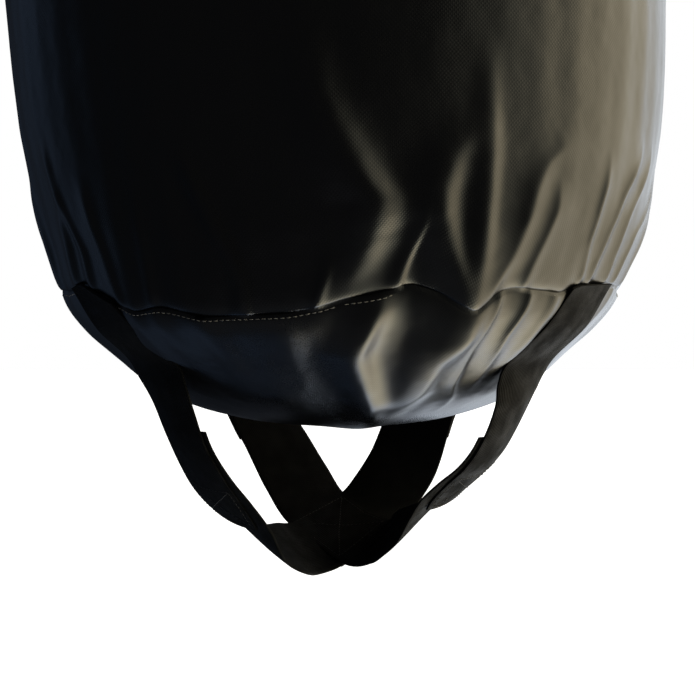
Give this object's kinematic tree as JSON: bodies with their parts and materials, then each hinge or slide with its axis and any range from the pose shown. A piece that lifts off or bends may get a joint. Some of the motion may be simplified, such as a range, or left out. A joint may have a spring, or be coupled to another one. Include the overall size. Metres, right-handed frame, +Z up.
{
  "type": "packed dog agility tunnel in a hanging sack",
  "caption": "Dog agility tunnel on a spring-wire helix, packed in a round glossy coated-fabric sack with a sagging base, hung by D-rings and with a four-legged webbing handle below.",
  "frame": {"origin": "on the sack's axis, level with the inner tops of the four D-rings that it hangs by", "axes": "+Z up along the sack's axis, -Y is the front, +X is the right as seen from the front"},
  "size_m": [0.6232, 0.6232, 0.9372],
  "materials": {
    "sack_fabric": "glossy black coated woven fabric",
    "seam_tape": "matt black binding tape",
    "webbing": "matt black woven webbing",
    "ring_steel": "bright plated steel",
    "eyelet_metal": "bright plated",
    "spring_wire": "drawn spring wire",
    "tunnel_fabric": "satin blue coated fabric"
  },
  "bodies": {
    "sack": {"sack_body": "sack_fabric", "base_dome": "sack_fabric", "base_seam_binding": "seam_tape", "mouth_hem": "sack_fabric", "side_seam_strip": "sack_fabric", "eyelet_1": "eyelet_metal", "eyelet_2": "eyelet_metal", "eyelet_3": "eyelet_metal", "eyelet_4": "eyelet_metal", "eyelet_5": "eyelet_metal", "eyelet_6": "eyelet_metal", "eyelet_7": "eyelet_metal", "eyelet_8": "eyelet_metal", "hanging_tab_front_right": "webbing", "hanging_tab_back_right": "webbing", "hanging_tab_back_left": "webbing", "hanging_tab_front_left": "webbing", "harness_leg_front_right": "webbing", "harness_leg_back_right": "webbing", "harness_leg_back_left": "webbing", "harness_leg_front_left": "webbing"},
    "harness_centre": {"cross_strap_upper": "webbing", "cross_strap_lower": "webbing", "cross_patch": "webbing"},
    "tunnel_lower": {"tunnel_lower_cuff": "tunnel_fabric", "tunnel_lower_hoop": "spring_wire", "tunnel_skin": "tunnel_fabric", "tunnel_wire_helix": "spring_wire"},
    "tunnel_upper": {"tunnel_upper_cuff": "tunnel_fabric", "tunnel_upper_hoop": "spring_wire"},
    "ring_front_right": {"d_ring_front_right": "ring_steel"},
    "ring_back_right": {"d_ring_back_right": "ring_steel"},
    "ring_back_left": {"d_ring_back_left": "ring_steel"},
    "ring_front_left": {"d_ring_front_left": "ring_steel"}
  },
  "joints": [
    {"name": "harness_lift", "type": "slide", "parent": "sack", "child": "harness_centre", "axis": [0, 0, 1], "range_m": [0, 0.07], "deforming": ["harness_leg_front_right", "harness_leg_back_right", "harness_leg_back_left", "harness_leg_front_left", "cross_strap_upper", "cross_strap_lower"]},
    {"name": "tunnel_lift", "type": "slide", "parent": "sack", "child": "tunnel_lower", "axis": [0, 0, 1], "range_m": [0, 0.5]},
    {"name": "tunnel_stretch", "type": "slide", "parent": "tunnel_lower", "child": "tunnel_upper", "axis": [0, 0, 1], "range_m": [0, 2.7], "deforming": ["tunnel_skin", "tunnel_wire_helix"]},
    {"name": "ring_swing_front_right", "type": "hinge", "parent": "sack", "child": "ring_front_right", "pos_m": [0.21765, -0.21765, -0.037], "axis": [0.7071, 0.7071, 0], "range_deg": [0, 105]},
    {"name": "ring_swing_back_right", "type": "hinge", "parent": "sack", "child": "ring_back_right", "pos_m": [0.21765, 0.21765, -0.037], "axis": [-0.7071, 0.7071, 0], "range_deg": [0, 105]},
    {"name": "ring_swing_back_left", "type": "hinge", "parent": "sack", "child": "ring_back_left", "pos_m": [-0.21765, 0.21765, -0.037], "axis": [-0.7071, -0.7071, 0], "range_deg": [0, 105]},
    {"name": "ring_swing_front_left", "type": "hinge", "parent": "sack", "child": "ring_front_left", "pos_m": [-0.21765, -0.21765, -0.037], "axis": [0.7071, -0.7071, 0], "range_deg": [0, 105]}
  ]
}
